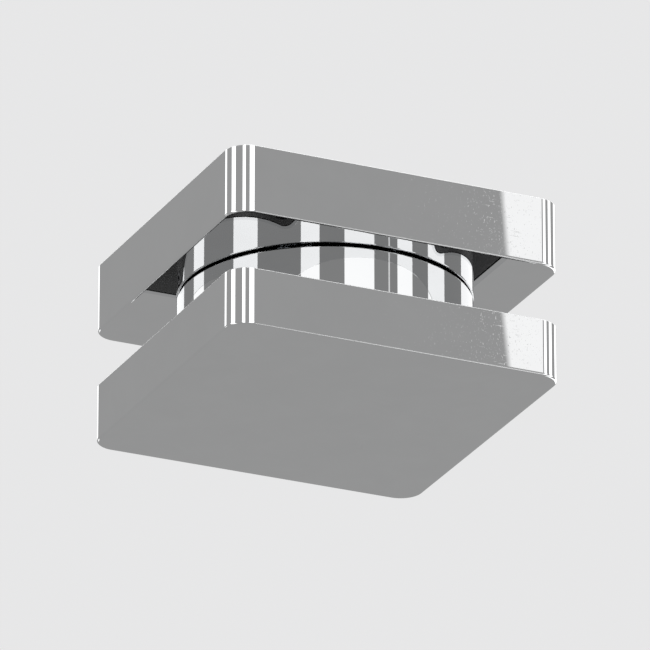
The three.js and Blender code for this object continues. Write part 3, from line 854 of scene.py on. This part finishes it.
corner_socket()
threaded_bush()
mounting_plate()
screws("plate_fixing", "plate_screw", PLATE_SCREWS, PLATE_TOP, "socket", "zinc_screw")
adjusting_ring()
threaded_stud()
circlip("clip_ring", "ring_circlip", RING_GROOVE_R, outer=7.6, lug_r=1.05, turned=30)
circlip("clip_journal", "journal_circlip", JOURNAL_GROOVE_R, outer=6.2, lug_r=0.9, turned=210)
washer("washer_bronze", "thrust_washer", inner=4.3, soft=0.12, body="washer", slot="bronze")
base_shell()
bearing_plate()
bearing_bush()
washer("washer_backing", "backing_washer", inner=4.15, soft=0.08, body="base", slot="stud_steel")
base_cover()
screws("cover_fixing", "cover_screw", COVER_SCREWS, COVER_TOP, "base", "black_screw")


# ------------------------------------------------------------------ floor

ROOM = 0.335                      # grey of the room, as the chrome sees it
BACKDROP = (0.80, 0.80, 0.805)    # as the camera sees it
FLOOR_MIRRORED = 0.30             # grey of the floor, as the chrome sees it
FLOOR_RADII = (0.06, 0.12, 0.25, 0.5, 1.0, 2.0, 4.0, 8.0)    # m
FLOOR_DROP = 0.00006              # m below the base
NEAR_RAY = 0.0007                 # m; shorter rays pass through the floor
FROM_BELOW = 0.1                  # how far the view must tilt up for the floor to vanish


def floor_material():
    """Pale to the camera, mid grey in the chrome's mirror image, as the room is."""
    shader = new_material("floor")
    place = shader.coords()
    path = shader.add("ShaderNodeLightPath").outputs
    seen = path["Is Camera Ray"]
    cloud = shader.noise(place, scale=0.004, detail=4.0, roughness=0.6)
    pale = shader.mix_colour(cloud, (0.60, 0.60, 0.605), (0.63, 0.63, 0.635))
    shader.set_surface({
        "Base Color": shader.mix_colour(seen, (FLOOR_MIRRORED,) * 3, pale),
        "Roughness": 0.7,
        "Specular IOR Level": 0.25,
    })
    # far away it fades into the backdrop
    distance = shader.add("ShaderNodeVectorMath", {0: place}, operation="LENGTH").outputs["Value"]
    far = shader.remap(distance, span=(250.0, 2200.0), interpolation="SMOOTHSTEP")
    haze = shader.add(
        "ShaderNodeEmission", {"Color": shader.mix_colour(seen, (ROOM,) * 3, BACKDROP)})
    principled = shader.tree.nodes["Principled BSDF"]
    ground = shader.mix_shader(far, principled.outputs["BSDF"], haze.outputs["Emission"])
    # clear from behind, to very short rays, and when the camera looks up from below
    backfacing = shader.add("ShaderNodeNewGeometry").outputs["Backfacing"]
    near = shader.math("LESS_THAN", path["Ray Length"], NEAR_RAY)
    upward = shader.add(
        "ShaderNodeVectorTransform", {"Vector": (0, 0, 1)},
        vector_type="VECTOR", convert_from="WORLD", convert_to="CAMERA")
    split = shader.add("ShaderNodeSeparateXYZ", {"Vector": upward.outputs["Vector"]})
    below = shader.math("GREATER_THAN", split.outputs["Z"], FROM_BELOW)
    # a slight gloss: the chrome also sees the panels through the floor, more so further out
    sheen = shader.remap(distance, span=(60.0, 400.0), to=(0.22, 0.5))
    gloss = shader.math("MULTIPLY", sheen, path["Is Glossy Ray"])
    clear = shader.largest([backfacing, near, below, gloss])
    see_through = shader.add("ShaderNodeBsdfTransparent").outputs["BSDF"]
    shader.fill(shader.tree.nodes["Material Output"],
                {"Surface": shader.mix_shader(clear, ground, see_through)})


def make_floor():
    """A large disc under the base, invisible from below so that the underside shows."""
    segments = 64
    shape = bmesh.new()
    centre_vert = shape.verts.new((0, 0, 0))
    rows = [[shape.verts.new((x, y, 0)) for x, y in circle(radius, segments)]
            for radius in FLOOR_RADII]
    for i in range(segments):
        shape.faces.new((centre_vert, rows[0][i], rows[0][(i + 1) % segments]))
    for inner, outer in zip(rows, rows[1:]):
        for i in range(segments):
            j = (i + 1) % segments
            shape.faces.new((inner[i], outer[i], outer[j], inner[j]))
    bmesh.ops.recalc_face_normals(shape, faces=shape.faces)
    if sum(face.normal.z for face in shape.faces) < 0:
        bmesh.ops.reverse_faces(shape, faces=shape.faces)
    floor = as_object(shape, "floor")
    floor.location.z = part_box("base_shell")[0].z - FLOOR_DROP
    floor_material()
    floor.data.materials.append(MATERIALS["floor"])
    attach(floor, "base")
    floor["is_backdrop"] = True


make_floor()


# ------------------------------------------------------------------ studio

TALL = [(-52.0, 58.0)]
SPLIT = [(12.0, 58.0), (-27.5, -18.5)]
# azimuth from, to (degrees, 0 is -Y and 90 is +X), softness, brightness, heights (degrees)
PANELS = [
    (-200.0, -166.0, 0.2, 1.6, SPLIT),
    (-147.3, -132.6, 0.2, 1.6, SPLIT),
    (-100.0, -78.0, 0.2, 1.6, TALL),
    (-43.0, -28.6, 0.2, 1.6, TALL),
    (-9.5, 14.0, 0.2, 1.6, TALL),
    (25.67, 26.9, 0.03, 1.05, TALL),
    (33.4, 47.0, 0.2, 1.6, TALL),
    (62.5, 81.5, 0.2, 1.6, TALL),
    (107.0, 138.0, 0.2, 1.6, TALL),
    (170.0, 200.0, 0.2, 1.6, SPLIT),
]
PANEL_END_SOFTNESS = 2.0    # degrees, at the upper and lower ends
CEILING_LEVEL = 0.95


def studio():
    """Pale backdrop for the camera; light and reflections from a grey room with white panels."""
    world = bpy.data.worlds.new("studio")
    scene.world = world
    shader = Shader(world)
    shader.tree.nodes.clear()
    generated = shader.add("ShaderNodeTexCoord").outputs["Generated"]
    x, y, z = shader.add("ShaderNodeSeparateXYZ", {"Vector": generated}).outputs
    bearing = shader.math("ARCTAN2", x, shader.math("MULTIPLY", y, -1.0))
    azimuth = shader.math("MULTIPLY", bearing, 180 / pi)
    elevation = shader.math("MULTIPLY", shader.math("ARCSINE", z), 180 / pi)

    def band(value, start, end, soft):
        rise = shader.remap(value, span=(start - soft, start + soft))
        fall = shader.remap(value, span=(end - soft, end + soft), to=(1.0, 0.0))
        return shader.math("MULTIPLY", rise, fall)

    def panel(start, end, soft, level, heights):
        tall = shader.largest(
            [band(elevation, low, high, PANEL_END_SOFTNESS) for low, high in heights])
        wide = shader.math("MULTIPLY", band(azimuth, start, end, soft), level)
        return shader.math("MULTIPLY", wide, tall)

    panels = shader.largest([panel(*row) for row in PANELS])
    ceiling = shader.math("MULTIPLY", shader.remap(elevation, span=(48.0, 72.0)), CEILING_LEVEL)
    room = shader.remap(elevation, span=(-90.0, 60.0), to=(ROOM - 0.01, ROOM + 0.01))
    level = shader.largest([room, panels, ceiling])
    light = shader.add("ShaderNodeBackground", {"Color": (1, 1, 1, 1), "Strength": level})
    back = shader.add("ShaderNodeBackground", {"Color": rgba(BACKDROP)})
    seen = shader.add("ShaderNodeLightPath").outputs["Is Camera Ray"]
    mixed = shader.mix_shader(seen, light.outputs["Background"], back.outputs["Background"])
    shader.add("ShaderNodeOutputWorld", {"Surface": mixed})


def aim(thing, location, target):
    """Link a light or camera into the scene and point it at the target."""
    scene.collection.objects.link(thing)
    thing.location = location
    thing.rotation_mode = "QUATERNION"
    thing.rotation_quaternion = (target - thing.location).to_track_quat("-Z", "Y")


def top_light(centre):
    light = bpy.data.lights.new("softbox_top", "AREA")
    light.shape = "RECTANGLE"
    light.size, light.size_y = 0.9, 0.9
    light.energy = 3.0
    location = (centre.x + 0.25, centre.y - 0.15, 1.1)
    aim(bpy.data.objects.new("softbox_top", light), location, centre)


def camera(centre):
    """Long lens, below the foot and looking up at it from the -X, -Y side."""
    azimuth, elevation, distance = radians(-24.45), radians(-23.0), 1.575
    lens = bpy.data.cameras.new("camera")
    viewer = bpy.data.objects.new("camera", lens)
    lens.sensor_width = 36.0
    lens.lens = 520.0
    lens.clip_start, lens.clip_end = 0.05, 50.0
    direction = Vector((
        sin(azimuth) * cos(elevation), -cos(azimuth) * cos(elevation), sin(elevation)))
    aim(viewer, centre + direction * distance, centre)
    scene.camera = viewer


studio()
low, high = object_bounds()
top_light((low + high) / 2)
camera((low + high) / 2)

scene.view_settings.view_transform = "Standard"
scene.view_settings.look = "None"
scene.cycles.max_bounces = 16
scene.cycles.glossy_bounces = 12
scene.cycles.transparent_max_bounces = 24
scene.cycles.caustics_reflective = False
